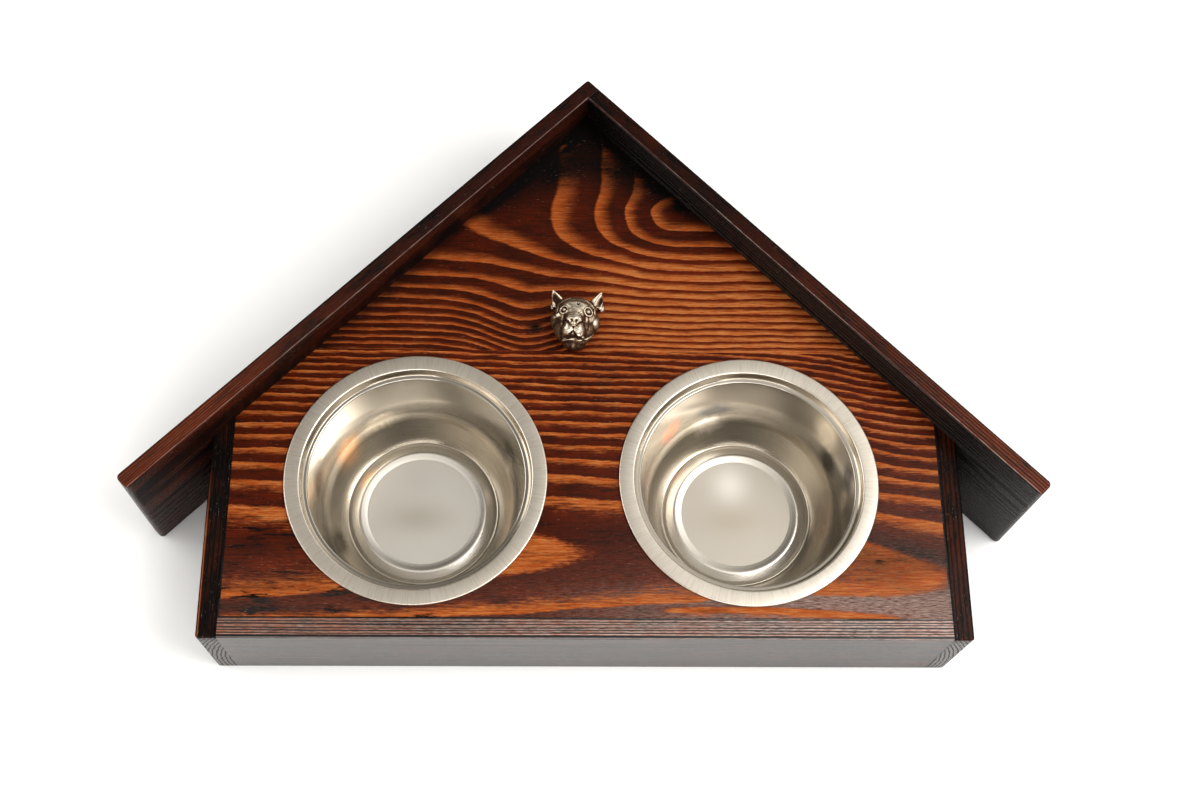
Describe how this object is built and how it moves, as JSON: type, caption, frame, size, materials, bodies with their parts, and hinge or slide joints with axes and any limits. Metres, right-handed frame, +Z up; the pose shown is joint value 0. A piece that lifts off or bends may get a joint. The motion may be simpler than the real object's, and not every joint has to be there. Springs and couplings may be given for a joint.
{
  "type": "raised pet feeder",
  "caption": "House-shaped raised pet feeder in scorched, varnished pine: a low five-sided box with overhanging roof boards, lift-out steel bowls and a dog-head knob.",
  "frame": {"origin": "on the floor, under the middle of the whole object's box", "axes": "+X to the right as seen from the front wall, +Y from the front wall towards the ridge, +Z up"},
  "size_m": [0.7264, 0.4818, 0.1366],
  "materials": {
    "scorched_pine": "scorched, brushed and gloss varnished pine, orange early wood between near-black late wood",
    "plain_pine": "planed, unfinished",
    "beech": "turned, unfinished",
    "stainless_steel": "satin rim, polished inside",
    "antique_casting": "antique nickel plated casting, dark in the hollows and rubbed bright on the high spots",
    "zinc_plated_steel": "zinc plated",
    "bumper_rubber": "matt"
  },
  "bodies": {
    "stand": {"front_wall": "scorched_pine", "left_side_wall": "scorched_pine", "right_side_wall": "scorched_pine", "left_roof_board": "scorched_pine", "right_roof_board": "scorched_pine", "panel_front_board": "scorched_pine", "panel_rear_board": "scorched_pine", "front_cleat": "plain_pine", "left_side_cleat": "plain_pine", "right_side_cleat": "plain_pine", "left_roof_cleat": "plain_pine", "right_roof_cleat": "plain_pine", "front_corner_dowels": "beech", "ridge_dowels": "beech", "panel_seam_dowels": "beech", "eave_nails": "zinc_plated_steel", "cleat_to_wall_screws": "zinc_plated_steel", "cleat_to_panel_screws": "zinc_plated_steel", "knob_screw": "zinc_plated_steel", "knob_washer": "zinc_plated_steel", "dog_head_knob": "antique_casting", "bumper_feet": "bumper_rubber"},
    "left_bowl": {"left_bowl": "stainless_steel"},
    "right_bowl": {"right_bowl": "stainless_steel"}
  },
  "joints": [
    {"name": "left_bowl_lift", "type": "slide", "parent": "stand", "child": "left_bowl", "axis": [0, 0, 1], "range_m": [0, 0.13]},
    {"name": "right_bowl_lift", "type": "slide", "parent": "stand", "child": "right_bowl", "axis": [0, 0, 1], "range_m": [0, 0.13]}
  ]
}
